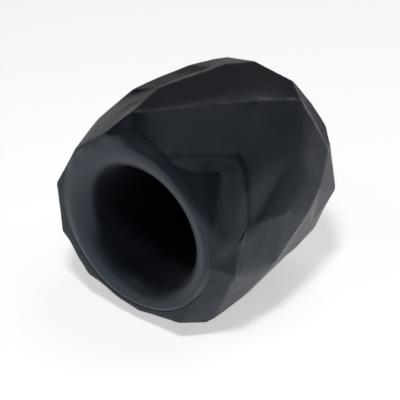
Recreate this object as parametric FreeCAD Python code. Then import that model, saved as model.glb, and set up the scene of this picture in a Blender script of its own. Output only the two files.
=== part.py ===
import FreeCAD, Part
import math
import os

# Case opening friction ball: a hand-sized rubber grip with an irregular faceted
# outside and a smooth blind friction cup whose rounded lip grips a watch case back.
# Frame: millimetres, +Z up.  The grip lies on its resting facet (Z = 0).  The cup
# axis runs along Y at height AXIS_Z, and its mouth faces -Y.  X = 0, Y = 0 is under
# the axis, near the middle of the grip's length.

os.makedirs("parts", exist_ok=True)

# ---------------------------------------------------------------- driving sizes
AXIS_Z = 28.6          # height of the cup axis above the resting facet
FRONT_Y = -25.5        # plane of the grip's front land, around the lip

LIP_R = 23.1           # outer radius of the lip flange, seated in the grip
LIP_PROUD = 0.4        # how far the crest of the lip stands in front of the land
LIP_EDGE_R = 1.5       # rounding of the lip's outer front edge
MOUTH_R = 5.2          # rounding from the crest of the lip into the bore
BORE_R = 16.0          # radius of the blind bore
BORE_DX = 1.05         # the bore is moulded a little off the flange's axis
BORE_DZ = -1.05
BORE_DEPTH = 40.0      # depth of the bore, from the crest of the lip
DOME_R = 20.0          # radius of the domed end of the bore
WALL = 3.5             # least wall of the liner behind the flange
FLANGE_BACK_Y = -20.5  # back face of the lip flange

KEY_COUNT = 6          # axial keys on the liner, which carry torque to the grip
KEY_W = 4.0            # width of a key
KEY_H = 1.6            # height of a key above the sleeve
KEY_END_Y = 6.0        # rear end of the keys

# ------------------------------------------------------- corners of the facets
# Corner points of the faceted outside (x, y, z).
CORNERS = [
    (-18.56, -25.50, 43.70), (-19.05, -16.12, 48.20), (-15.73, -10.64, 52.86),
    (-14.94, -7.17, 54.30), (-13.10, 0.54, 54.97), (-11.93, 11.85, 54.26),
    (-11.25, 21.62, 52.37), (-9.35, 24.25, 52.37), (-0.48, 24.40, 53.81),
    (10.93, 24.53, 51.93), (13.50, 25.16, 49.46), (16.71, 26.04, 45.95),
    (20.73, 26.29, 41.45), (23.61, 24.19, 38.18), (26.66, 22.87, 26.36),
    (25.25, 14.80, 18.55), (24.37, 9.89, 14.44), (24.89, 4.00, 14.79),
    (28.70, -5.61, 19.87), (23.42, -10.00, 10.55), (23.11, -12.93, 10.03),
    (21.37, -15.41, 7.85), (19.84, -18.94, 6.15), (18.34, -20.40, 5.10),
    (13.77, -25.50, 5.88), (9.49, -25.50, 5.29), (0.71, -25.50, 3.78),
    (-5.61, -25.50, 4.87), (-12.20, -25.50, 7.26), (-15.88, -25.50, 7.91),
    (-19.30, -25.50, 11.81), (-21.67, -25.50, 15.19), (-24.41, -25.50, 17.73),
    (-25.28, -25.50, 31.71), (-4.08, -20.22, 57.01), (-8.81, -25.50, 51.62),
    (-7.72, -5.42, 56.43), (-6.03, 12.77, 54.77), (-3.97, 17.12, 54.97),
    (16.01, 21.12, 49.68), (20.40, 21.30, 44.26), (24.67, 21.71, 38.09),
    (12.87, 6.24, 54.83), (23.01, -1.65, 46.99), (20.45, -9.45, 48.32),
    (27.44, -15.10, 34.32), (23.92, 7.58, 44.34), (11.15, -22.62, 50.47),
    (24.21, 10.81, 43.52), (27.87, 8.59, 36.23), (29.04, -2.39, 32.44),
    (28.58, 12.64, 32.53), (29.44, 7.02, 28.92), (20.69, -17.46, 48.43),
    (21.87, -13.47, 46.79), (24.68, -14.06, 41.13), (26.64, -23.49, 33.00),
    (28.10, -18.12, 31.69), (27.46, -20.02, 22.87), (25.15, -19.87, 18.17),
    (13.39, -25.50, 48.43), (23.36, -25.50, 38.23), (22.97, -25.50, 26.37),
    (-1.25, -25.50, 52.47), (6.56, -25.50, 51.48), (-27.94, -13.50, 35.57),
    (-28.26, -16.00, 22.08), (-23.64, -11.50, 10.79), (-15.26, -17.00, 4.18),
    (-9.60, -14.00, 0.00), (4.50, -17.00, 0.00), (10.40, -6.50, 0.00),
    (9.40, 6.50, 0.00), (1.50, 12.50, 0.00), (-7.60, 9.50, 0.00),
    (-10.30, -1.50, 0.00), (-26.07, 1.50, 43.65), (-29.46, 6.50, 30.14),
    (-27.91, 1.00, 17.32), (-19.87, 5.50, 6.53), (-18.96, 15.50, 48.93),
    (-24.85, 18.50, 38.64), (-27.10, 17.00, 25.27), (-22.56, 18.50, 13.95),
    (-13.75, 16.00, 4.78), (-1.84, 20.00, 2.26), (11.97, 17.00, 4.06),
    (16.39, 0.50, 3.36), (17.48, 13.50, 6.22), (23.30, 19.50, 15.15),
    (13.90, -13.00, 2.46), (-16.98, 24.60, 46.81), (-22.30, 25.00, 39.00),
    (-25.00, 24.20, 28.60), (-22.55, 25.10, 19.03), (-16.34, 24.40, 9.81),
    (-6.78, 24.90, 4.95), (4.77, 24.30, 4.06), (14.74, 25.00, 9.03),
    (22.84, 24.20, 18.43), (-2.30, 27.00, 44.94), (9.11, 27.00, 43.19),
    (14.89, 27.00, 35.23), (16.63, 27.00, 25.07), (10.97, 27.00, 16.41),
    (1.80, 27.00, 11.49), (-8.55, 27.00, 14.37), (-16.04, 27.00, 22.12),
    (-16.04, 27.00, 32.01), (-11.44, 27.00, 41.31),
]

# Triangles of the outside, as corner numbers, counter-clockwise seen from outside.
# Neighbouring triangles in one plane are merged into one facet below.
TRIANGLES = [
    (9, 8, 38), (34, 9, 38), (36, 34, 38), (38, 37, 36), (42, 9, 34), (42, 39, 9),
    (44, 42, 34), (44, 34, 64), (64, 47, 44), (63, 34, 35), (64, 34, 63), (60, 47, 64),
    (44, 43, 42), (46, 39, 42), (43, 46, 42), (43, 44, 55), (55, 45, 46), (55, 46, 43),
    (4, 3, 36), (37, 6, 5), (4, 36, 37), (37, 5, 4), (38, 8, 7), (6, 37, 38),
    (38, 7, 6), (2, 34, 36), (36, 3, 2), (35, 34, 2), (35, 2, 1), (35, 1, 0),
    (40, 41, 13), (40, 13, 12), (40, 12, 11), (39, 40, 11), (39, 11, 10), (39, 10, 9),
    (48, 41, 40), (48, 40, 39), (46, 48, 39), (51, 41, 48), (49, 51, 48), (49, 48, 46),
    (50, 49, 46), (45, 50, 46), (52, 51, 49), (50, 52, 49), (50, 45, 18), (18, 52, 50),
    (58, 18, 45), (57, 58, 45), (18, 58, 20), (20, 19, 18), (41, 51, 14), (14, 13, 41),
    (15, 14, 51), (52, 15, 51), (52, 18, 17), (15, 52, 17), (17, 16, 15), (47, 60, 53),
    (44, 47, 53), (53, 54, 44), (54, 55, 44), (55, 54, 53), (55, 53, 56), (55, 56, 57),
    (57, 45, 55), (53, 60, 61), (61, 56, 53), (62, 58, 57), (56, 61, 62), (62, 57, 56),
    (59, 58, 62), (59, 62, 24), (22, 59, 24), (24, 23, 22), (59, 22, 21), (59, 21, 20),
    (59, 20, 58), (62, 61, 60), (24, 62, 60), (30, 29, 28), (0, 33, 32), (35, 0, 32),
    (63, 35, 32), (64, 63, 32), (60, 64, 32), (24, 60, 32), (31, 30, 28), (27, 26, 25),
    (28, 27, 25), (31, 28, 25), (25, 24, 32), (32, 31, 25), (4, 76, 3), (76, 2, 3),
    (76, 1, 2), (4, 80, 76), (76, 65, 1), (0, 65, 33), (0, 1, 65), (33, 65, 66),
    (4, 5, 80), (33, 66, 32), (18, 19, 17), (87, 17, 19), (87, 88, 17), (88, 16, 17),
    (88, 89, 16), (103, 102, 13), (87, 72, 88), (87, 71, 72), (70, 25, 26), (70, 71, 90),
    (24, 25, 90), (70, 90, 25), (87, 19, 90), (87, 90, 71), (78, 67, 66), (66, 67, 32),
    (70, 26, 27), (70, 27, 69), (78, 79, 67), (78, 77, 82), (76, 77, 65), (78, 66, 77),
    (65, 77, 66), (30, 31, 67), (32, 67, 31), (16, 89, 15), (11, 12, 102), (13, 102, 12),
    (88, 72, 86), (73, 86, 72), (89, 99, 15), (69, 27, 68), (28, 68, 27), (30, 67, 68),
    (78, 82, 83), (78, 83, 79), (69, 68, 75), (71, 75, 72), (70, 75, 71), (70, 69, 75),
    (67, 79, 75), (67, 75, 68), (80, 5, 6), (95, 83, 94), (82, 94, 83), (9, 10, 101),
    (11, 101, 10), (11, 102, 101), (102, 100, 101), (7, 8, 100), (9, 101, 8), (100, 8, 101),
    (102, 108, 100), (73, 97, 86), (105, 97, 96), (15, 99, 14), (103, 13, 14), (103, 14, 99),
    (79, 74, 75), (73, 72, 74), (72, 75, 74), (24, 90, 23), (90, 22, 23), (90, 21, 22),
    (20, 21, 19), (19, 21, 90), (30, 68, 29), (28, 29, 68), (95, 106, 96), (105, 96, 106),
    (7, 100, 109), (100, 108, 109), (82, 93, 94), (73, 85, 97), (96, 97, 85), (73, 74, 85),
    (86, 97, 98), (89, 98, 99), (105, 98, 97), (88, 98, 89), (88, 86, 98), (95, 96, 84),
    (79, 84, 74), (96, 85, 84), (74, 84, 85), (95, 84, 83), (79, 83, 84), (108, 106, 107),
    (94, 93, 107), (108, 107, 93), (95, 94, 107), (95, 107, 106), (108, 92, 109), (108, 93, 92),
    (105, 104, 98), (103, 104, 102), (103, 99, 104), (99, 98, 104), (105, 106, 104), (102, 104, 108),
    (108, 104, 106), (109, 92, 91), (80, 6, 91), (7, 91, 6), (7, 109, 91), (82, 81, 93),
    (93, 81, 92), (82, 77, 81), (76, 81, 77), (76, 80, 81), (80, 91, 81), (92, 81, 91),
]


def vec(p):
    return FreeCAD.Vector(p[0], p[1], p[2])


def faceted_solid(corners, triangles):
    faces = []
    for a, b, c in triangles:
        wire = Part.makePolygon([vec(corners[a]), vec(corners[b]),
                                 vec(corners[c]), vec(corners[a])])
        faces.append(Part.Face(wire))
    shell = Part.makeShell(faces)
    solid = Part.makeSolid(shell)
    if solid.Volume < 0:
        solid.reverse()
    return solid.removeSplitter()


def arc(p, q, r):
    return Part.Arc(vec(p), vec(q), vec(r)).toShape()


def line(p, q):
    return Part.LineSegment(vec(p), vec(q)).toShape()


def on_arc(cr, cy, radius, degrees):
    t = math.radians(degrees)
    return (cr + radius * math.cos(t), cy + radius * math.sin(t), 0.0)


def revolve(edges, dx=0.0, dz=0.0):
    # The half profile is drawn with X as radius and Y along the axis.
    face = Part.Face(Part.Wire(edges))
    solid = face.revolve(FreeCAD.Vector(0, 0, 0), FreeCAD.Vector(0, 1, 0), 360)
    if solid.Volume < 0:
        solid.reverse()
    solid.translate(FreeCAD.Vector(dx, 0, AXIS_Z + dz))
    return solid


crest_y = FRONT_Y - LIP_PROUD
crest_r = BORE_R + MOUTH_R
sleeve_r = BORE_R + WALL
bore_end_y = crest_y + BORE_DEPTH
dome_cy = bore_end_y - DOME_R
dome_start_y = dome_cy + math.sqrt(DOME_R ** 2 - BORE_R ** 2)
outer_dome_r = DOME_R + WALL
outer_dome_start_y = dome_cy + math.sqrt(outer_dome_r ** 2 - sleeve_r ** 2)
outer_end_y = dome_cy + outer_dome_r


def mid_dome(radius, start_r):
    a0 = math.asin(start_r / radius)
    return (radius * math.sin(a0 / 2), dome_cy + radius * math.cos(a0 / 2), 0.0)


# ------------------------------------------------------------ friction liner
edge_cr = LIP_R - LIP_EDGE_R
edge_cy = crest_y + LIP_EDGE_R
mouth_cy = crest_y + MOUTH_R
flange = revolve([
    line((0, crest_y, 0), (0, FLANGE_BACK_Y, 0)),
    line((0, FLANGE_BACK_Y, 0), (LIP_R, FLANGE_BACK_Y, 0)),
    line((LIP_R, FLANGE_BACK_Y, 0), (LIP_R, edge_cy, 0)),
    arc((LIP_R, edge_cy, 0), on_arc(edge_cr, edge_cy, LIP_EDGE_R, -45),
        (edge_cr, crest_y, 0)),
    line((edge_cr, crest_y, 0), (0, crest_y, 0)),
])
sleeve = revolve([
    line((0, crest_y + 1.0, 0), (0, outer_end_y, 0)),
    arc((0, outer_end_y, 0), mid_dome(outer_dome_r, sleeve_r),
        (sleeve_r, outer_dome_start_y, 0)),
    line((sleeve_r, outer_dome_start_y, 0), (sleeve_r, crest_y + 1.0, 0)),
    line((sleeve_r, crest_y + 1.0, 0), (0, crest_y + 1.0, 0)),
], BORE_DX, BORE_DZ)


def key(i):
    inner = sleeve_r - 1.0
    box = Part.makeBox(KEY_W, KEY_END_Y - FLANGE_BACK_Y + 0.5,
                       sleeve_r + KEY_H - inner,
                       FreeCAD.Vector(-KEY_W / 2, FLANGE_BACK_Y - 0.5, inner))
    box.rotate(FreeCAD.Vector(0, 0, 0), FreeCAD.Vector(0, 1, 0),
               360.0 * i / KEY_COUNT)
    box.translate(FreeCAD.Vector(BORE_DX, 0, AXIS_Z + BORE_DZ))
    return box


filled = flange.fuse(sleeve)
for i in range(KEY_COUNT):
    filled = filled.fuse(key(i))
filled = filled.removeSplitter()

# The mouth's rounding meets the flange's front at a slight angle, not tangent.
mouth_cy -= 0.03
bore = revolve([
    line((0, crest_y - 2.0, 0), (0, bore_end_y, 0)),
    arc((0, bore_end_y, 0), mid_dome(DOME_R, BORE_R), (BORE_R, dome_start_y, 0)),
    line((BORE_R, dome_start_y, 0), (BORE_R, mouth_cy, 0)),
    arc((BORE_R, mouth_cy, 0), on_arc(crest_r, mouth_cy, MOUTH_R, -135),
        (crest_r, crest_y - 0.03, 0)),
    line((crest_r, crest_y - 0.03, 0), (crest_r, crest_y - 2.0, 0)),
    line((crest_r, crest_y - 2.0, 0), (0, crest_y - 2.0, 0)),
], BORE_DX, BORE_DZ)
liner = filled.cut(bore)

# -------------------------------------------------------- faceted grip body
# The seat in the grip is the filled outside of the liner, run out past the front.
plug = Part.makeCylinder(LIP_R, FLANGE_BACK_Y - crest_y + 5.0,
                         FreeCAD.Vector(0, crest_y - 5.0, AXIS_Z),
                         FreeCAD.Vector(0, 1, 0))
seat = filled.fuse(plug)
grip = faceted_solid(CORNERS, TRIANGLES).cut(seat)

for name, shape in (("faceted_grip_body", grip), ("friction_liner", liner)):
    solids = shape.Solids
    keep = solids[0] if len(solids) == 1 else shape
    print(name, "solids", len(solids), "valid", shape.isValid(),
          "volume", round(shape.Volume, 1))
    keep.exportStep("parts/" + name + ".step")
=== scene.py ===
import math

import bmesh
import bpy
import numpy as np
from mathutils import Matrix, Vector, noise
from mathutils.bvhtree import BVHTree


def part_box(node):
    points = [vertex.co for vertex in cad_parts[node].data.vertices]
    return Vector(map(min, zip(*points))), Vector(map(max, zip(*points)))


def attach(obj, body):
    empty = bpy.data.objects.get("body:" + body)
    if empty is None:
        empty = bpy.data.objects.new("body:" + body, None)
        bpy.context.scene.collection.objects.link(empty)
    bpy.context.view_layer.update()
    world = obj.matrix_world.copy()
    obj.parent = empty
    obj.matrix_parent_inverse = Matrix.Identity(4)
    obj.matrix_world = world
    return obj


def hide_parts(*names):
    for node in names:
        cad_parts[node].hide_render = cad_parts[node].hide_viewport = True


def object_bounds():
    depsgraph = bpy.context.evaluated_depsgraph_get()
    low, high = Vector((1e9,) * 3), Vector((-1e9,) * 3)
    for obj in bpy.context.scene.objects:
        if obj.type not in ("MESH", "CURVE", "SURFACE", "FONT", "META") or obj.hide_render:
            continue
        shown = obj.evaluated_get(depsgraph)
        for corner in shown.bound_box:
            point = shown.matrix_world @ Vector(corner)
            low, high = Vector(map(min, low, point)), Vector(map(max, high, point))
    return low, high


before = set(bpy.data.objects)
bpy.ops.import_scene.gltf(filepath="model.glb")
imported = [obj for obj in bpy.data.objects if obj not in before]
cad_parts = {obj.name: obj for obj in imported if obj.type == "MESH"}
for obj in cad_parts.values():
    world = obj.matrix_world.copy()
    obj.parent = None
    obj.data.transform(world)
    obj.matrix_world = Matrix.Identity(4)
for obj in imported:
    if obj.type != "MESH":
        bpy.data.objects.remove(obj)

CAD_LO, CAD_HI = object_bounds()
MM = 0.001

# ------------------------------------------------------------------ geometry
# The facet corners and the cup's sizes are those of the CAD model, in mm.
CORNERS = [
    (-18.56, -25.50, 43.70), (-19.05, -16.12, 48.20), (-15.73, -10.64, 52.86), (-14.94, -7.17, 54.30), (-13.10, 0.54, 54.97),
    (-11.93, 11.85, 54.26), (-11.25, 21.62, 52.37), (-9.35, 24.25, 52.37), (-0.48, 24.40, 53.81), (10.93, 24.53, 51.93),
    (13.50, 25.16, 49.46), (16.71, 26.04, 45.95), (20.73, 26.29, 41.45), (23.61, 24.19, 38.18), (26.66, 22.87, 26.36),
    (25.25, 14.80, 18.55), (24.37, 9.89, 14.44), (24.89, 4.00, 14.79), (28.70, -5.61, 19.87), (23.42, -10.00, 10.55),
    (23.11, -12.93, 10.03), (21.37, -15.41, 7.85), (19.84, -18.94, 6.15), (18.34, -20.40, 5.10), (13.77, -25.50, 5.88),
    (9.49, -25.50, 5.29), (0.71, -25.50, 3.78), (-5.61, -25.50, 4.87), (-12.20, -25.50, 7.26), (-15.88, -25.50, 7.91),
    (-19.30, -25.50, 11.81), (-21.67, -25.50, 15.19), (-24.41, -25.50, 17.73), (-25.28, -25.50, 31.71), (-4.08, -20.22, 57.01),
    (-8.81, -25.50, 51.62), (-7.72, -5.42, 56.43), (-6.03, 12.77, 54.77), (-3.97, 17.12, 54.97), (16.01, 21.12, 49.68),
    (20.40, 21.30, 44.26), (24.67, 21.71, 38.09), (12.87, 6.24, 54.83), (23.01, -1.65, 46.99), (20.45, -9.45, 48.32),
    (27.44, -15.10, 34.32), (23.92, 7.58, 44.34), (11.15, -22.62, 50.47), (24.21, 10.81, 43.52), (27.87, 8.59, 36.23),
    (29.04, -2.39, 32.44), (28.58, 12.64, 32.53), (29.44, 7.02, 28.92), (20.69, -17.46, 48.43), (21.87, -13.47, 46.79),
    (24.68, -14.06, 41.13), (26.64, -23.49, 33.00), (28.10, -18.12, 31.69), (27.46, -20.02, 22.87), (25.15, -19.87, 18.17),
    (13.39, -25.50, 48.43), (23.36, -25.50, 38.23), (22.97, -25.50, 26.37), (-1.25, -25.50, 52.47), (6.56, -25.50, 51.48),
    (-27.94, -13.50, 35.57), (-28.26, -16.00, 22.08), (-23.64, -11.50, 10.79), (-15.26, -17.00, 4.18), (-9.60, -14.00, 0.00),
    (4.50, -17.00, 0.00), (10.40, -6.50, 0.00), (9.40, 6.50, 0.00), (1.50, 12.50, 0.00), (-7.60, 9.50, 0.00),
    (-10.30, -1.50, 0.00), (-26.07, 1.50, 43.65), (-29.46, 6.50, 30.14), (-27.91, 1.00, 17.32), (-19.87, 5.50, 6.53),
    (-18.96, 15.50, 48.93), (-24.85, 18.50, 38.64), (-27.10, 17.00, 25.27), (-22.56, 18.50, 13.95), (-13.75, 16.00, 4.78),
    (-1.84, 20.00, 2.26), (11.97, 17.00, 4.06), (16.39, 0.50, 3.36), (17.48, 13.50, 6.22), (23.30, 19.50, 15.15),
    (13.90, -13.00, 2.46), (-16.98, 24.60, 46.81), (-22.30, 25.00, 39.00), (-25.00, 24.20, 28.60), (-22.55, 25.10, 19.03),
    (-16.34, 24.40, 9.81), (-6.78, 24.90, 4.95), (4.77, 24.30, 4.06), (14.74, 25.00, 9.03), (22.84, 24.20, 18.43),
    (-2.30, 27.00, 44.94), (9.11, 27.00, 43.19), (14.89, 27.00, 35.23), (16.63, 27.00, 25.07), (10.97, 27.00, 16.41),
    (1.80, 27.00, 11.49), (-8.55, 27.00, 14.37), (-16.04, 27.00, 22.12), (-16.04, 27.00, 32.01), (-11.44, 27.00, 41.31),
]
TRIANGLES = [
    (9, 8, 38), (34, 9, 38), (36, 34, 38), (38, 37, 36), (42, 9, 34), (42, 39, 9), (44, 42, 34), (44, 34, 64), (64, 47, 44), (63, 34, 35),
    (64, 34, 63), (60, 47, 64), (44, 43, 42), (46, 39, 42), (43, 46, 42), (43, 44, 55), (55, 45, 46), (55, 46, 43), (4, 3, 36), (37, 6, 5),
    (4, 36, 37), (37, 5, 4), (38, 8, 7), (6, 37, 38), (38, 7, 6), (2, 34, 36), (36, 3, 2), (35, 34, 2), (35, 2, 1), (35, 1, 0),
    (40, 41, 13), (40, 13, 12), (40, 12, 11), (39, 40, 11), (39, 11, 10), (39, 10, 9), (48, 41, 40), (48, 40, 39), (46, 48, 39), (51, 41, 48),
    (49, 51, 48), (49, 48, 46), (50, 49, 46), (45, 50, 46), (52, 51, 49), (50, 52, 49), (50, 45, 18), (18, 52, 50), (58, 18, 45), (57, 58, 45),
    (18, 58, 20), (20, 19, 18), (41, 51, 14), (14, 13, 41), (15, 14, 51), (52, 15, 51), (52, 18, 17), (15, 52, 17), (17, 16, 15), (47, 60, 53),
    (44, 47, 53), (53, 54, 44), (54, 55, 44), (55, 54, 53), (55, 53, 56), (55, 56, 57), (57, 45, 55), (53, 60, 61), (61, 56, 53), (62, 58, 57),
    (56, 61, 62), (62, 57, 56), (59, 58, 62), (59, 62, 24), (22, 59, 24), (24, 23, 22), (59, 22, 21), (59, 21, 20), (59, 20, 58), (62, 61, 60),
    (24, 62, 60), (30, 29, 28), (0, 33, 32), (35, 0, 32), (63, 35, 32), (64, 63, 32), (60, 64, 32), (24, 60, 32), (31, 30, 28), (27, 26, 25),
    (28, 27, 25), (31, 28, 25), (25, 24, 32), (32, 31, 25), (4, 76, 3), (76, 2, 3), (76, 1, 2), (4, 80, 76), (76, 65, 1), (0, 65, 33),
    (0, 1, 65), (33, 65, 66), (4, 5, 80), (33, 66, 32), (18, 19, 17), (87, 17, 19), (87, 88, 17), (88, 16, 17), (88, 89, 16), (103, 102, 13),
    (87, 72, 88), (87, 71, 72), (70, 25, 26), (70, 71, 90), (24, 25, 90), (70, 90, 25), (87, 19, 90), (87, 90, 71), (78, 67, 66), (66, 67, 32),
    (70, 26, 27), (70, 27, 69), (78, 79, 67), (78, 77, 82), (76, 77, 65), (78, 66, 77), (65, 77, 66), (30, 31, 67), (32, 67, 31), (16, 89, 15),
    (11, 12, 102), (13, 102, 12), (88, 72, 86), (73, 86, 72), (89, 99, 15), (69, 27, 68), (28, 68, 27), (30, 67, 68), (78, 82, 83), (78, 83, 79),
    (69, 68, 75), (71, 75, 72), (70, 75, 71), (70, 69, 75), (67, 79, 75), (67, 75, 68), (80, 5, 6), (95, 83, 94), (82, 94, 83), (9, 10, 101),
    (11, 101, 10), (11, 102, 101), (102, 100, 101), (7, 8, 100), (9, 101, 8), (100, 8, 101), (102, 108, 100), (73, 97, 86), (105, 97, 96), (15, 99, 14),
    (103, 13, 14), (103, 14, 99), (79, 74, 75), (73, 72, 74), (72, 75, 74), (24, 90, 23), (90, 22, 23), (90, 21, 22), (20, 21, 19), (19, 21, 90),
    (30, 68, 29), (28, 29, 68), (95, 106, 96), (105, 96, 106), (7, 100, 109), (100, 108, 109), (82, 93, 94), (73, 85, 97), (96, 97, 85), (73, 74, 85),
    (86, 97, 98), (89, 98, 99), (105, 98, 97), (88, 98, 89), (88, 86, 98), (95, 96, 84), (79, 84, 74), (96, 85, 84), (74, 84, 85), (95, 84, 83),
    (79, 83, 84), (108, 106, 107), (94, 93, 107), (108, 107, 93), (95, 94, 107), (95, 107, 106), (108, 92, 109), (108, 93, 92), (105, 104, 98), (103, 104, 102),
    (103, 99, 104), (99, 98, 104), (105, 106, 104), (102, 104, 108), (108, 104, 106), (109, 92, 91), (80, 6, 91), (7, 91, 6), (7, 109, 91), (82, 81, 93),
    (93, 81, 92), (82, 77, 81), (76, 81, 77), (76, 80, 81), (80, 91, 81), (92, 81, 91),
]
# Moulded-in valleys and one small dent: from, to, the depth at each, and the
# half widths on the steep side and the gentle side, in mm.
VALLEYS = [
    ((10.78, -22.16, 50.54), (20.69, -10.51, 48.09), 0.34, 0.44, 1.30, 3.00),
    ((21.06, -9.82, 47.36), (27.39, -15.20, 34.39), 0.34, 0.30, 0.75, 2.40),
    ((24.10, 7.34, 43.94), (27.46, -14.50, 34.34), 0.10, 0.40, 1.80, 4.60),
    ((10.43, -18.74, 51.01), (10.36, -16.02, 51.52), 0.20, 0.22, 1.50, 1.50),
]
# Edges between facets that stay crisp, as pairs of corners. The others melt away.
CRISP = [
    (8, 9), (8, 38), (34, 36), (37, 38), (36, 37), (34, 42), (39, 42), (9, 39), (34, 35), (45, 55), (3, 4), (3, 36),
    (6, 37), (5, 6), (4, 5), (7, 8), (6, 7), (2, 3), (1, 2), (1, 35), (0, 1), (0, 35), (40, 41), (13, 41),
    (12, 13), (11, 12), (39, 40), (10, 11), (9, 10), (41, 51), (45, 50), (51, 52), (18, 45), (18, 52), (45, 57), (20, 58),
    (19, 20), (18, 19), (14, 51), (13, 14), (14, 15), (15, 52), (17, 18), (16, 17), (15, 16), (58, 62), (58, 59), (24, 62),
    (22, 59), (23, 24), (22, 23), (21, 22), (20, 21), (29, 30), (28, 29), (0, 33), (32, 33), (30, 31), (26, 27), (25, 26),
    (27, 28), (24, 25), (31, 32), (3, 76), (1, 76), (76, 80), (65, 76), (33, 65), (65, 66), (33, 66), (32, 66), (19, 87),
    (87, 88), (88, 89), (16, 89), (102, 103), (13, 102), (71, 72), (25, 70), (26, 70), (70, 71), (71, 90), (70, 90), (25, 90),
    (19, 90), (87, 90), (67, 78), (66, 78), (32, 67), (27, 69), (69, 70), (67, 79), (77, 78), (77, 82), (78, 82), (76, 77),
    (65, 77), (66, 77), (31, 67), (15, 89), (12, 102), (72, 86), (72, 73), (89, 99), (15, 99), (68, 69), (28, 68), (67, 68),
    (78, 83), (79, 83), (69, 75), (75, 79), (83, 95), (83, 94), (94, 95), (82, 94), (11, 101), (101, 102), (100, 101), (73, 97),
    (86, 97), (96, 97), (14, 99), (99, 103), (74, 75), (73, 74), (23, 90), (19, 21), (29, 68), (95, 96), (105, 106), (100, 109),
    (108, 109), (82, 93), (93, 94), (85, 97), (85, 96), (74, 85), (97, 98), (89, 98), (98, 99), (88, 98), (84, 96), (84, 95),
    (79, 84), (74, 84), (106, 107), (107, 108), (94, 107), (92, 93), (104, 105), (98, 104), (103, 104), (91, 92), (80, 91), (7, 91),
    (81, 93), (81, 92), (77, 81), (76, 81),
]
# Soft folds, and folds in a wide blend that leaves no edge at all.
FOLDS = [
    (34, 63), (34, 64), (64, 47), (47, 60), (42, 44), (42, 43), (9, 42), (18, 58), (61, 56), (57, 56), (58, 57), (35, 63),
    (63, 64), (64, 60), (60, 61), (61, 62), (44, 43), (43, 46), (48, 50), (49, 50), (48, 49), (34, 9), (34, 2),
]
BLENDED = [
    (34, 63), (34, 64), (64, 47), (42, 9), (44, 43), (42, 44),
]
# Ridges painted pale, partly as wear from handling and partly as a painted highlight along their rounding: the two
# corners and how much.
PLANED = (45, 56, 58)
RIDGES = [
    (34, 42, 0.22), (42, 39, 0.30), (36, 37, 0.40), (3, 36, 0.34), (37, 6, 0.15), (37, 38, 0.30), (38, 8, 0.20), (39, 40, 0.70),
    (40, 41, 0.62), (9, 39, 0.50), (45, 57, 0.36), (57, 58, 0.50), (58, 59, 0.20), (45, 50, 0.04), (39, 46, 0.03), (20, 21, 0.12),
    (76, 80, 0.12), (65, 76, 0.12), (33, 65, 0.12), (32, 66, 0.12), (19, 87, 0.12), (87, 88, 0.12), (16, 89, 0.12), (102, 103, 0.12),
    (71, 72, 0.12), (25, 70, 0.12), (26, 70, 0.12), (70, 71, 0.12), (71, 90, 0.12), (66, 78, 0.12), (32, 67, 0.12), (27, 69, 0.12),
    (69, 70, 0.12), (67, 79, 0.12), (77, 82, 0.12), (12, 102, 0.12), (72, 86, 0.12), (72, 73, 0.12), (89, 99, 0.12), (68, 69, 0.12),
    (67, 68, 0.12), (79, 83, 0.12), (69, 75, 0.12), (83, 95, 0.12), (83, 94, 0.12), (94, 95, 0.12), (100, 101, 0.12), (96, 97, 0.12),
    (14, 99, 0.12), (74, 75, 0.12), (73, 74, 0.12), (23, 90, 0.12), (29, 68, 0.12), (95, 96, 0.12), (100, 109, 0.12), (82, 93, 0.12),
    (93, 94, 0.12), (85, 96, 0.12), (74, 85, 0.12), (97, 98, 0.12), (98, 99, 0.12), (84, 95, 0.12), (74, 84, 0.12), (106, 107, 0.12),
    (107, 108, 0.12), (92, 93, 0.12), (103, 104, 0.12), (91, 92, 0.12), (80, 91, 0.12), (7, 91, 0.12), (81, 92, 0.12), (76, 81, 0.12),
]
AXIS_Z = 28.6
FRONT_Y = -25.5
LIP_R = 23.1
LIP_PROUD = 0.4
BORE_R = 16.0
BORE_DX = 1.05
BORE_DZ = -1.05
MOUTH_R = 5.2
BORE_DEPTH = 40.0
DOME_R = 20.0
WALL = 3.5
FLANGE_BACK_Y = -20.5

body_lo, body_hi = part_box("faceted_grip_body")
table_lo = [min(c[i] for c in CORNERS) * MM for i in range(3)]
table_hi = [max(c[i] for c in CORNERS) * MM for i in range(3)]
for i in range(3):
    if abs(table_lo[i] - body_lo[i]) > 2e-4 or abs(table_hi[i] - body_hi[i]) > 2e-4:
        raise RuntimeError("the facet table doesn't match the CAD body")

scene = bpy.context.scene


def link(obj):
    scene.collection.objects.link(obj)
    return obj


def apply_all(obj):
    """Applies the object's modifiers to its mesh."""
    dg = bpy.context.evaluated_depsgraph_get()
    new = bpy.data.meshes.new_from_object(obj.evaluated_get(dg))
    old = obj.data
    obj.modifiers.clear()
    obj.data = new
    bpy.data.meshes.remove(old)


def coords(mesh):
    a = np.empty(len(mesh.vertices) * 3)
    mesh.vertices.foreach_get("co", a)
    return a.reshape(-1, 3)


def set_coords(mesh, a):
    mesh.vertices.foreach_set("co", np.ascontiguousarray(a, dtype=float).ravel())
    mesh.update()


def normals(mesh):
    a = np.empty(len(mesh.vertices) * 3, dtype=np.float32)
    mesh.vertex_normals.foreach_get("vector", a)
    return a.reshape(-1, 3).astype(float)


def seg_dist(p, a, b):
    ab = b - a
    t = np.clip(((p - a) @ ab) / (ab @ ab), 0.0, 1.0)
    return np.linalg.norm(p - (a + t[:, None] * ab), axis=1), t


# ---------------------------------------------------------------- grip body
def edge_arrays(mesh):
    e = np.empty(len(mesh.edges) * 2, dtype=np.int64)
    mesh.edges.foreach_get("vertices", e)
    return e.reshape(-1, 2)


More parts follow.
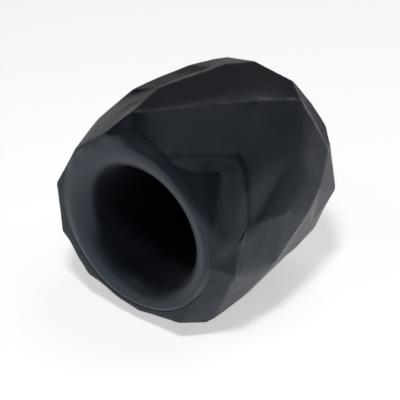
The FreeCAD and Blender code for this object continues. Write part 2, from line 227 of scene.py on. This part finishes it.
def relax(p, edges, weight, steps):
    """Laplacian smoothing, each vertex moving by its own weight."""
    n = len(p)
    deg = np.bincount(edges.ravel(), minlength=n).astype(float)[:, None]
    for _ in range(steps):
        acc = np.zeros_like(p)
        for k in range(3):
            acc[:, k] = (np.bincount(edges[:, 0], weights=p[edges[:, 1], k], minlength=n)
                         + np.bincount(edges[:, 1], weights=p[edges[:, 0], k], minlength=n))
        p = p + weight[:, None] * (acc / deg - p)
    return p


def nearest_edge(p, pairs):
    best = np.full(len(p), 99.0)
    c = np.array(CORNERS)
    for a, b in pairs:
        lo = np.minimum(c[a], c[b]) - 9.0
        hi = np.maximum(c[a], c[b]) + 9.0
        near = np.flatnonzero(np.all((p > lo) & (p < hi), axis=1))
        if len(near):
            d, _ = seg_dist(p[near], c[a], c[b])
            best[near] = np.minimum(best[near], d)
    return best


def smooth(t):
    t = min(max(t, 0.0), 1.0)
    return t * t * (3 - 2 * t)


def roll_share(theta):
    """1 along the upper right of the mouth, 0 round the rest."""
    a = (math.degrees(theta) + 60.0) % 360.0 - 60.0
    return smooth((a - 5.0) / 40.0) * smooth((114.0 - a) / 34.0)


def rolled(theta, r):
    """How far back the front has rolled over at radius r."""
    a = (math.degrees(theta) + 60.0) % 360.0 - 60.0
    t = max(r - 21.2 + 1.2 * smooth((a - 20.0) / 35.0), 0.0)
    t = min(t, 3.1) ** 2 / 5.8 + 1.07 * max(t - 3.1, 0.0)
    return roll_share(theta) * t


def faceted_body():
    mesh = bpy.data.meshes.new("grip")
    mesh.from_pydata([(x * MM, y * MM, z * MM) for x, y, z in CORNERS], [], TRIANGLES)
    obj = link(bpy.data.objects.new("grip_shell", mesh))
    m = obj.modifiers.new("remesh", "REMESH")
    m.mode = "VOXEL"
    m.voxel_size = VOXEL * MM
    apply_all(obj)
    mesh = obj.data
    p = coords(mesh) / MM
    e = edge_arrays(mesh)
    # facets stay flat up to their crisp edges; soft folds between them melt
    w = np.clip((nearest_edge(p, CRISP) - 0.5) / 1.2, 0.0, 1.0)
    flat = (p[:, 2] < 0.35) | (p[:, 1] > 26.65) | (p[:, 1] < FRONT_Y + 0.3)
    w[flat] = 0.0
    soft = np.clip((4.0 - nearest_edge(p, FOLDS)) / 2.0, 0.0, 1.0)
    p = relax(p, e, w * (0.05 + 0.55 * soft), MELT)
    # a wide blend, worked on its own part of the mesh
    zone = w * np.clip((8.0 - nearest_edge(p, BLENDED)) / 3.0, 0.0, 1.0)
    part = np.flatnonzero((zone[e[:, 0]] > 0) | (zone[e[:, 1]] > 0))
    own, back = np.unique(e[part].ravel(), return_inverse=True)
    p[own] = relax(p[own], back.reshape(-1, 2), 0.7 * zone[own], 700)
    # the corner low on the mouth's right is planed down part of the way
    a, b, c = (np.array(CORNERS[i]) for i in PLANED)
    m = np.cross(b - a, c - a)
    m *= math.copysign(1.0, m[0]) / np.linalg.norm(m)
    out = np.where((p[:, 0] > 20.0) & (p[:, 1] < -14.0) & (p[:, 2] > 21.0) & (p[:, 2] < 36.0), np.maximum((p - a) @ m, 0.0), 0.0)
    p -= m * (0.6 * out)[:, None]
    p = relax(p, e, np.full(len(p), 0.5), SOFTEN)
    set_coords(mesh, p * MM)
    n = normals(mesh)
    # valleys pressed in
    for a, b, depth_a, depth_b, steep, gentle in VALLEYS:
        a, b = np.array(a), np.array(b)
        dd, t = seg_dist(p, a, b)
        side = np.einsum("ij,ij->i", np.cross(b - a, n), p - a)
        width = np.where(side > 0, gentle, steep)
        p -= n * ((depth_a + (depth_b - depth_a) * t) * np.exp(-(dd / width) ** 2))[:, None]
    # the front edge rolls over where it meets the upper right facets
    rho = np.hypot(p[:, 0], p[:, 2] - AXIS_Z)
    for i in np.flatnonzero((p[:, 1] < -18.0) & (rho > 20.5) & (rho < 26.5)):
        y = FRONT_Y - LIP_PROUD + rolled(math.atan2(p[i, 2] - AXIS_Z, p[i, 0]), rho[i])
        p[i, 1] = max(p[i, 1], y)
    zone = np.zeros(len(p))
    near = (p[:, 1] < -19.0) & (rho > 21.5) & (rho < 26.5)
    for i in np.flatnonzero(near):
        zone[i] = 0.5 * min(1.0, 2.0 * roll_share(math.atan2(p[i, 2] - AXIS_Z, p[i, 0])))
    part = np.flatnonzero((zone[e[:, 0]] > 0) | (zone[e[:, 1]] > 0))
    own, back = np.unique(e[part].ravel(), return_inverse=True)
    p[own] = relax(p[own], back.reshape(-1, 2), zone[own], 14)
    # slow unevenness of a hand-cut mould, kept inside the CAD box
    amp = np.array([noise.noise(Vector(q) * 0.085) * 0.16 + noise.noise(Vector(q) * 0.27 + Vector((7, 3, 1))) * 0.05 for q in p])
    flat = (p[:, 2] < 0.6) | (p[:, 1] > 26.4)
    amp = np.where(flat, 0.0, amp - 0.10)
    p += n * amp[:, None]
    set_coords(mesh, p * MM)
    # how near each vertex is to a ridge, for the pale ridges in the material: handling wear and a painted ridge
    # highlight
    att = mesh.attributes.new("edge", "FLOAT", "POINT")
    value = np.zeros(len(p))
    for a, b, wear_and_highlight_share in RIDGES:
        value = np.maximum(value, wear_and_highlight_share * np.exp(-(nearest_edge(p, [(a, b)]) / 0.45) ** 2))
    att.data.foreach_set("value", value.astype(np.float32))
    return obj


def revolve_mesh(name, profile, steps, closed_axis=True):
    """profile: (radius, y) in mm from one axis point to the other."""
    verts, faces, ring = [], [], []
    for r, y in profile:
        if r < 1e-6:
            ring.append([len(verts)])
            verts.append((0.0, y * MM, AXIS_Z * MM))
        else:
            ring.append(list(range(len(verts), len(verts) + steps)))
            for i in range(steps):
                t = 2 * math.pi * i / steps
                verts.append((r * math.cos(t) * MM, y * MM, (AXIS_Z + r * math.sin(t)) * MM))
    for a, b in zip(ring, ring[1:]):
        for i in range(steps):
            j = (i + 1) % steps
            if len(a) == 1 and len(b) == 1:
                continue
            if len(a) == 1:
                faces.append((a[0], b[i], b[j]))
            elif len(b) == 1:
                faces.append((a[i], b[0], a[j]))
            else:
                faces.append((a[i], b[i], b[j], a[j]))
    mesh = bpy.data.meshes.new(name)
    mesh.from_pydata(verts, [], faces)
    bm = bmesh.new()
    bm.from_mesh(mesh)
    bmesh.ops.recalc_face_normals(bm, faces=bm.faces)
    bm.to_mesh(mesh)
    bm.free()
    return mesh


def arc(cr, cy, radius, a0, a1, n):
    return [(cr + radius * math.cos(math.radians(a0 + (a1 - a0) * i / n)),
             cy + radius * math.sin(math.radians(a0 + (a1 - a0) * i / n))) for i in range(n + 1)]


crest_y = FRONT_Y - LIP_PROUD
bore_end_y = crest_y + BORE_DEPTH
dome_cy = bore_end_y - DOME_R
sleeve_r = BORE_R + WALL
out_dome = DOME_R + WALL
a_in = math.degrees(math.acos(BORE_R / DOME_R))
a_out = math.degrees(math.acos(sleeve_r / out_dome))


def seat_tools():
    """The liner's seat in the grip: the flange's recess, then the sleeve's."""
    flange = [(0.0, FLANGE_BACK_Y), (LIP_R + 0.015, FLANGE_BACK_Y), (LIP_R + 0.015, FRONT_Y - 3.0), (0.0, FRONT_Y - 3.0)]
    r = sleeve_r + 0.1
    sleeve = [(0.0, FLANGE_BACK_Y - 0.5), (r, FLANGE_BACK_Y - 0.5), (r, dome_cy + out_dome * math.sin(math.radians(a_out)))]
    sleeve += arc(0.0, dome_cy, out_dome + 0.1, a_out, 90, 16)[1:-1] + [(0.0, dome_cy + out_dome + 0.1)]
    a = link(bpy.data.objects.new("seat_flange", revolve_mesh("seat_flange", flange, 320)))
    mesh = revolve_mesh("seat_sleeve", sleeve, 96)
    p = coords(mesh)
    p[:, 0] += BORE_DX * MM
    p[:, 2] += BORE_DZ * MM
    set_coords(mesh, p)
    return a, link(bpy.data.objects.new("seat_sleeve", mesh))


VOXEL = 0.30
SOFTEN = 7
MELT = 160
body = faceted_body()


def land_profile(steps):
    """Height and slope of the grip's outside where the flange will break it."""
    tree = BVHTree.FromObject(body, bpy.context.evaluated_depsgraph_get())
    out = []
    for k in range(steps):
        th = 2 * math.pi * k / steps
        ys = []
        for r in (LIP_R + 0.05, LIP_R + 0.55):
            hit = tree.ray_cast(Vector((r * math.cos(th), -40.0, AXIS_Z + r * math.sin(th))) * MM, Vector((0, 1, 0)))
            ys.append(hit[0].y / MM if hit[0] is not None else FRONT_Y)
        out.append((ys[0], (ys[1] - ys[0]) / 0.5))
    a = np.array(out)
    for k in range(24):
        b = 0.25 * np.roll(a, 1, axis=0) + 0.5 * a + 0.25 * np.roll(a, -1, axis=0)
        a[:, 1] = b[:, 1]
        if k < 3:
            a[:, 0] = b[:, 0]
    a[:, 1] = np.clip(a[:, 1], 0.0, 0.7)
    return a


LIP_STEPS = 320
land = land_profile(LIP_STEPS)
for tool in seat_tools():
    cut = body.modifiers.new("seat", "BOOLEAN")
    cut.operation = "DIFFERENCE"
    cut.solver = "EXACT"
    cut.object = tool
    apply_all(body)
    bpy.data.objects.remove(tool)
body.data.shade_smooth()
body.data.set_sharp_from_angle(angle=math.radians(50))

# -------------------------------------------------------------------- liner
def crease(theta):
    """0 where the lip runs into the land, 1 where a crease parts them."""
    a = math.degrees(theta) % 360.0
    return smooth((a - 196.0) / 24.0) * smooth((345.0 - a) / 30.0)


def lip_front(k):
    """Front surface of the lip along ray k from the flange's axis: (radius, y)
    from the outer edge in to the start of the bore wall."""
    theta = 2 * math.pi * k / LIP_STEPS
    c, sn = math.cos(theta), math.sin(theta)
    g = crease(theta)
    y_out = land[k, 0] + 0.15 * g
    slope = (1 - g) * land[k, 1] + 0.36 * g
    v = smooth((roll_share(theta) - 0.25) / 0.35)
    b = BORE_DX * c + BORE_DZ * sn
    # where the bore's wall circle, and the lip's crest circle, are met along this ray
    r_bore = b + math.sqrt(b * b - (BORE_DX ** 2 + BORE_DZ ** 2 - BORE_R ** 2))
    r_crest = b + math.sqrt(b * b - (BORE_DX ** 2 + BORE_DZ ** 2 - (BORE_R + MOUTH_R) ** 2))
    r_fall = max(min(r_crest, LIP_R - 1.3), LIP_R - 3.4)
    w = LIP_R - r_fall

    def y_at(r):
        y = 0.0
        if r > r_fall:
            t = (r - r_fall) / w
            y += (1 - v) * ((3 * t * t - 2 * t ** 3) * (y_out - crest_y) + (t ** 3 - t * t) * slope * w)
        y += v * (rolled(theta, r) + (y_out - crest_y - rolled(theta, LIP_R)) * smooth((r - LIP_R + 1.8) / 1.8))
        rb = math.hypot(r * c - BORE_DX, r * sn - BORE_DZ)
        if rb < BORE_R + MOUTH_R:
            q = max(0.0, MOUTH_R ** 2 - (BORE_R + MOUTH_R - rb) ** 2)
            y += MOUTH_R - math.sqrt(q)
        return crest_y + y

    pts = [(LIP_R, FLANGE_BACK_Y), (LIP_R, -23.0)]
    n = 64
    for i in range(n + 1):
        u = i / n
        s = 0.5 - 0.5 * math.cos(math.pi * u)
        r = LIP_R + (r_bore - LIP_R) * s
        pts.append((r, y_at(r)))
    return pts, r_bore




def cup_liner():
    steps = LIP_STEPS
    rows = []
    wall_y = [float(y) for y in np.linspace(crest_y + MOUTH_R + 0.6, dome_cy + DOME_R * math.sin(math.radians(a_in)), 26)]
    dome = arc(0.0, dome_cy, DOME_R, a_in, 90, 22)[1:-1]
    back = arc(0.0, dome_cy, out_dome, 90, a_out, 16)[1:]
    for k in range(steps):
        th = 2 * math.pi * k / steps
        c, sn = math.cos(th), math.sin(th)
        front, r_bore = lip_front(k)
        row = [(r * c, y, r * sn) for r, y in front]
        # from here on the section is about the bore's own axis
        phi = math.atan2(r_bore * sn - BORE_DZ, r_bore * c - BORE_DX)
        cb, sb = math.cos(phi), math.sin(phi)
        row += [(BORE_DX + BORE_R * cb, y, BORE_DZ + BORE_R * sb) for y in wall_y]
        row += [(BORE_DX + r * cb, y, BORE_DZ + r * sb) for r, y in dome]
        outer = [(BORE_DX + r * cb, y, BORE_DZ + r * sb) for r, y in back]
        outer += [(BORE_DX + sleeve_r * cb, y, BORE_DZ + sleeve_r * sb) for y in np.linspace(outer[-1][1], FLANGE_BACK_Y, 8)[1:]]
        rows.append((row, outer))
    verts, faces = [], []
    m1, m2 = len(rows[0][0]), len(rows[0][1])
    for row, outer in rows:
        verts += row + outer
    m = m1 + m2
    tip_in = len(verts)
    verts.append((BORE_DX, bore_end_y, BORE_DZ))
    tip_out = len(verts)
    verts.append((BORE_DX, dome_cy + out_dome, BORE_DZ))
    for k in range(steps):
        a, b = k * m, ((k + 1) % steps) * m
        for i in list(range(m1 - 1)) + list(range(m1, m - 1)):
            faces.append((a + i, a + i + 1, b + i + 1, b + i))
        faces.append((a + m1 - 1, tip_in, b + m1 - 1))
        faces.append((tip_out, a + m1, b + m1))
        faces.append((a + m - 1, a, b, b + m - 1))
    mesh = bpy.data.meshes.new("liner")
    p = np.array(verts)
    rho = np.hypot(p[:, 0], p[:, 2])
    # a slight hand-trimmed waviness of the lip, always inwards
    lip = np.clip((rho - BORE_R) / 3.0, 0, 1) * np.clip((LIP_R - 0.2 - rho) / 2.4, 0, 1) * np.clip((-20.0 - p[:, 1]) / 3.0, 0, 1)
    wav = np.array([noise.noise(Vector(q) * 0.10 + Vector((3, 9, 4))) for q in p])
    p[:, 1] = np.maximum(p[:, 1] + lip * (0.13 + 0.12 * wav), crest_y + 0.004)
    p[:, 2] += AXIS_Z
    mesh.from_pydata([tuple(v) for v in p * MM], [], faces)
    bm = bmesh.new()
    bm.from_mesh(mesh)
    bmesh.ops.recalc_face_normals(bm, faces=bm.faces)
    bm.to_mesh(mesh)
    bm.free()
    obj = link(bpy.data.objects.new("cup_liner", mesh))
    mesh.shade_smooth()
    mesh.set_sharp_from_angle(angle=math.radians(30))
    return obj


liner = cup_liner()


# ---------------------------------------------------------------- materials
def nodes_of(mat):
    mat.use_nodes = True
    nt = mat.node_tree
    nt.nodes.clear()
    return nt, nt.nodes, nt.links


def rubber(name, base, light, wear_and_highlight_colour, rough, rough_var, bump, sheen, spec, ior=1.5):
    mat = bpy.data.materials.new(name)
    nt, N, L = nodes_of(mat)
    out = N.new("ShaderNodeOutputMaterial")
    b = N.new("ShaderNodeBsdfPrincipled")
    L.new(b.outputs[0], out.inputs[0])
    geo = N.new("ShaderNodeNewGeometry")
    pos = N.new("ShaderNodeVectorMath"); pos.operation = "SCALE"
    pos.inputs["Scale"].default_value = 1000.0
    L.new(geo.outputs["Position"], pos.inputs[0])

    def tex(scale, detail, rough_=0.55):
        t = N.new("ShaderNodeTexNoise")
        t.inputs["Scale"].default_value = scale
        t.inputs["Detail"].default_value = detail
        t.inputs["Roughness"].default_value = rough_
        L.new(pos.outputs[0], t.inputs["Vector"])
        return t

    def ramp(src, lo, hi, a, c):
        m = N.new("ShaderNodeMapRange")
        m.inputs["From Min"].default_value = lo
        m.inputs["From Max"].default_value = hi
        m.inputs["To Min"].default_value = a
        m.inputs["To Max"].default_value = c
        L.new(src, m.inputs["Value"])
        return m.outputs[0]

    slow = tex(0.09, 3.0)
    fine = tex(1.1, 4.0, 0.6)
    grain = tex(5.0, 2.0, 0.6)
    mix = N.new("ShaderNodeMix"); mix.data_type = "RGBA"
    mix.inputs[6].default_value = (*base, 1)
    mix.inputs[7].default_value = (*light, 1)
    L.new(ramp(slow.outputs["Fac"], 0.35, 0.68, 0.0, 1.0), mix.inputs["Factor"])
    # ridges given the most strength are painted a shade paler and smoother: partly wear from handling, partly a painted
    # highlight along the ridge
    edge = N.new("ShaderNodeAttribute")
    edge.attribute_name = "edge"
    wear_and_highlight_mask = N.new("ShaderNodeMath"); wear_and_highlight_mask.operation = "MULTIPLY"
    L.new(edge.outputs["Fac"], wear_and_highlight_mask.inputs[0])
    L.new(ramp(tex(0.35, 3.0).outputs["Fac"], 0.35, 0.65, 0.25, 1.0), wear_and_highlight_mask.inputs[1])
    pale = N.new("ShaderNodeMix"); pale.data_type = "RGBA"
    L.new(mix.outputs[2], pale.inputs[6])
    pale.inputs[7].default_value = (*wear_and_highlight_colour, 1)
    L.new(wear_and_highlight_mask.outputs[0], pale.inputs["Factor"])
    L.new(pale.outputs[2], b.inputs["Base Color"])
    r = N.new("ShaderNodeMath"); r.operation = "MULTIPLY_ADD"
    r.inputs[1].default_value = -0.12
    L.new(wear_and_highlight_mask.outputs[0], r.inputs[0])
    L.new(ramp(fine.outputs["Fac"], 0.3, 0.7, rough - rough_var, rough + rough_var), r.inputs[2])
    L.new(r.outputs[0], b.inputs["Roughness"])
    b.inputs["IOR"].default_value = ior
    b.inputs["Specular IOR Level"].default_value = spec
    b.inputs["Specular Tint"].default_value = (0.66, 0.81, 1.0, 1)
    b.inputs["Sheen Weight"].default_value = sheen
    b.inputs["Sheen Roughness"].default_value = 0.45
    b.inputs["Sheen Tint"].default_value = (0.75, 0.85, 1.0, 1)
    bm1 = N.new("ShaderNodeBump")
    bm1.inputs["Strength"].default_value = bump
    bm1.inputs["Distance"].default_value = 0.00006
    L.new(grain.outputs["Fac"], bm1.inputs["Height"])
    bm2 = N.new("ShaderNodeBump")
    bm2.inputs["Strength"].default_value = bump
    bm2.inputs["Distance"].default_value = 0.00022
    L.new(fine.outputs["Fac"], bm2.inputs["Height"])
    L.new(bm1.outputs[0], bm2.inputs["Normal"])
    L.new(bm2.outputs[0], b.inputs["Normal"])
    return mat


# the third colour in each is the pale ridge colour: handling wear and a painted ridge highlight
grip_mat = rubber("grip_rubber", (0.0046, 0.0057, 0.0084), (0.0076, 0.0092, 0.0134), (0.320, 0.325, 0.345), 0.41, 0.04, 0.10, 0.04, 0.36)
liner_mat = rubber("liner_rubber", (0.0048, 0.0060, 0.0094), (0.0078, 0.0096, 0.0146), (0.320, 0.325, 0.345), 0.42, 0.03, 0.07, 0.05, 0.56)
body.data.materials.clear(); body.data.materials.append(grip_mat)
liner.data.materials.clear(); liner.data.materials.append(liner_mat)

for obj, node, slot in ((body, "faceted_grip_body", "grip_rubber"), (liner, "friction_liner", "liner_rubber")):
    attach(obj, "root")
    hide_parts(node)

# -------------------------------------------------------------------- floor
centre = (CAD_LO + CAD_HI) / 2
fm = bpy.data.meshes.new("floor")
S = 3.0
fm.from_pydata([(-S, -S, 0), (S, -S, 0), (S, S, 0), (-S, S, 0)], [], [(0, 1, 2, 3)])
floor = link(bpy.data.objects.new("floor", fm))
floor.location = (centre.x, centre.y, CAD_LO.z - 0.00002)
fmat = bpy.data.materials.new("pale_floor")
nt, N, L = nodes_of(fmat)
out = N.new("ShaderNodeOutputMaterial")
b = N.new("ShaderNodeBsdfPrincipled")
b.inputs["Base Color"].default_value = (0.92, 0.92, 0.92, 1)
b.inputs["Roughness"].default_value = 0.75
b.inputs["Specular IOR Level"].default_value = 0.2
b.inputs["Emission Color"].default_value = (1, 1, 1, 1)
b.inputs["Emission Strength"].default_value = 0.510
L.new(b.outputs[0], out.inputs[0])
fm.materials.append(fmat)

# a low pale wall far off, all round, closes the floor's horizon
wm = bpy.data.meshes.new("wall")
ring = [(2.9 * math.cos(2 * math.pi * i / 64), 2.9 * math.sin(2 * math.pi * i / 64)) for i in range(64)]
wm.from_pydata([(x, y, z) for z in (0.0, 0.46) for x, y in ring], [], [(i, (i + 1) % 64, 64 + (i + 1) % 64, 64 + i) for i in range(64)])
wall = link(bpy.data.objects.new("wall", wm))
wall.location = floor.location
wmat = bpy.data.materials.new("pale_wall")
nt, N, L = nodes_of(wmat)
out = N.new("ShaderNodeOutputMaterial")
b = N.new("ShaderNodeBsdfPrincipled")
b.inputs["Base Color"].default_value = (0.9, 0.9, 0.9, 1)
b.inputs["Roughness"].default_value = 0.8
b.inputs["Specular IOR Level"].default_value = 0.2
b.inputs["Emission Color"].default_value = (1, 1, 1, 1)
b.inputs["Emission Strength"].default_value = 0.220
L.new(b.outputs[0], out.inputs[0])
wm.materials.append(wmat)

# ------------------------------------------------------------------- lights
world = bpy.data.worlds.new("studio")
scene.world = world
world.use_nodes = True
world.node_tree.nodes["Background"].inputs["Color"].default_value = (1, 1, 1, 1)
world.node_tree.nodes["Background"].inputs["Strength"].default_value = 0.000

# Soft boxes round the object: azimuth (0 in front of the mouth, 90 towards +X),
# elevation, side of the square in metres, power in watts.
SOFT_BOXES = [
    (180.0, 72.0, 0.24, 0.273),
    (340.0, 8.0, 0.20, 0.252),
    (330.0, 50.0, 0.24, 0.205),
    (150.0, 50.0, 0.24, 0.199),
    (144.0, 28.0, 0.24, 0.118),
    (24.0, 28.0, 0.24, 0.080),
    (100.0, 8.0, 0.20, 0.078),
    (192.0, 28.0, 0.24, 0.052),
    (120.0, 8.0, 0.20, 0.051),
    (120.0, 28.0, 0.24, 0.042),
    (210.0, 50.0, 0.24, 0.035),
    (216.0, 28.0, 0.24, 0.023),
    (240.0, 8.0, 0.20, 0.022),
    (312.0, 28.0, 0.24, 0.018),
]
# the last box, high in front, is polarised out of the reflections: it throws
# the shadow without a hot spot on the rubber
SOFT_BOXES.append((30.0, 63.0, 0.08, 1.489))
for i, (az, el, side, power) in enumerate(SOFT_BOXES):
    a, e = math.radians(az), math.radians(el)
    d = Vector((math.sin(a) * math.cos(e), -math.cos(a) * math.cos(e), math.sin(e)))
    lamp = bpy.data.lights.new("soft_box_%d" % (i + 1), "AREA")
    lamp.shape = "SQUARE"
    lamp.size = side
    lamp.energy = power
    obj = link(bpy.data.objects.new("soft_box_%d" % (i + 1), lamp))
    obj.location = Vector((0, 0, 0.028)) + d * 0.6
    obj.rotation_euler = d.to_track_quat("Z", "Y").to_euler()
obj.visible_glossy = False

# ------------------------------------------------------------------- camera
AZ, EL, DIST = math.radians(38.17), math.radians(31.83), 0.383
back = Vector((math.sin(AZ) * math.cos(EL), -math.cos(AZ) * math.cos(EL), math.sin(EL)))
cam = bpy.data.cameras.new("camera")
cam.lens = 135
cam.sensor_width = 36
cam.clip_start = 0.01
cam.clip_end = 20
cam_obj = link(bpy.data.objects.new("camera", cam))
cam_obj.location = Vector((0.00046, 0.0, 0.02413)) + back * DIST
cam_obj.rotation_euler = (-back).to_track_quat("-Z", "Y").to_euler()
scene.camera = cam_obj
scene.view_settings.view_transform = "Standard"
scene.view_settings.look = "None"
scene.view_settings.exposure = 0.0
scene.view_settings.gamma = 1.0
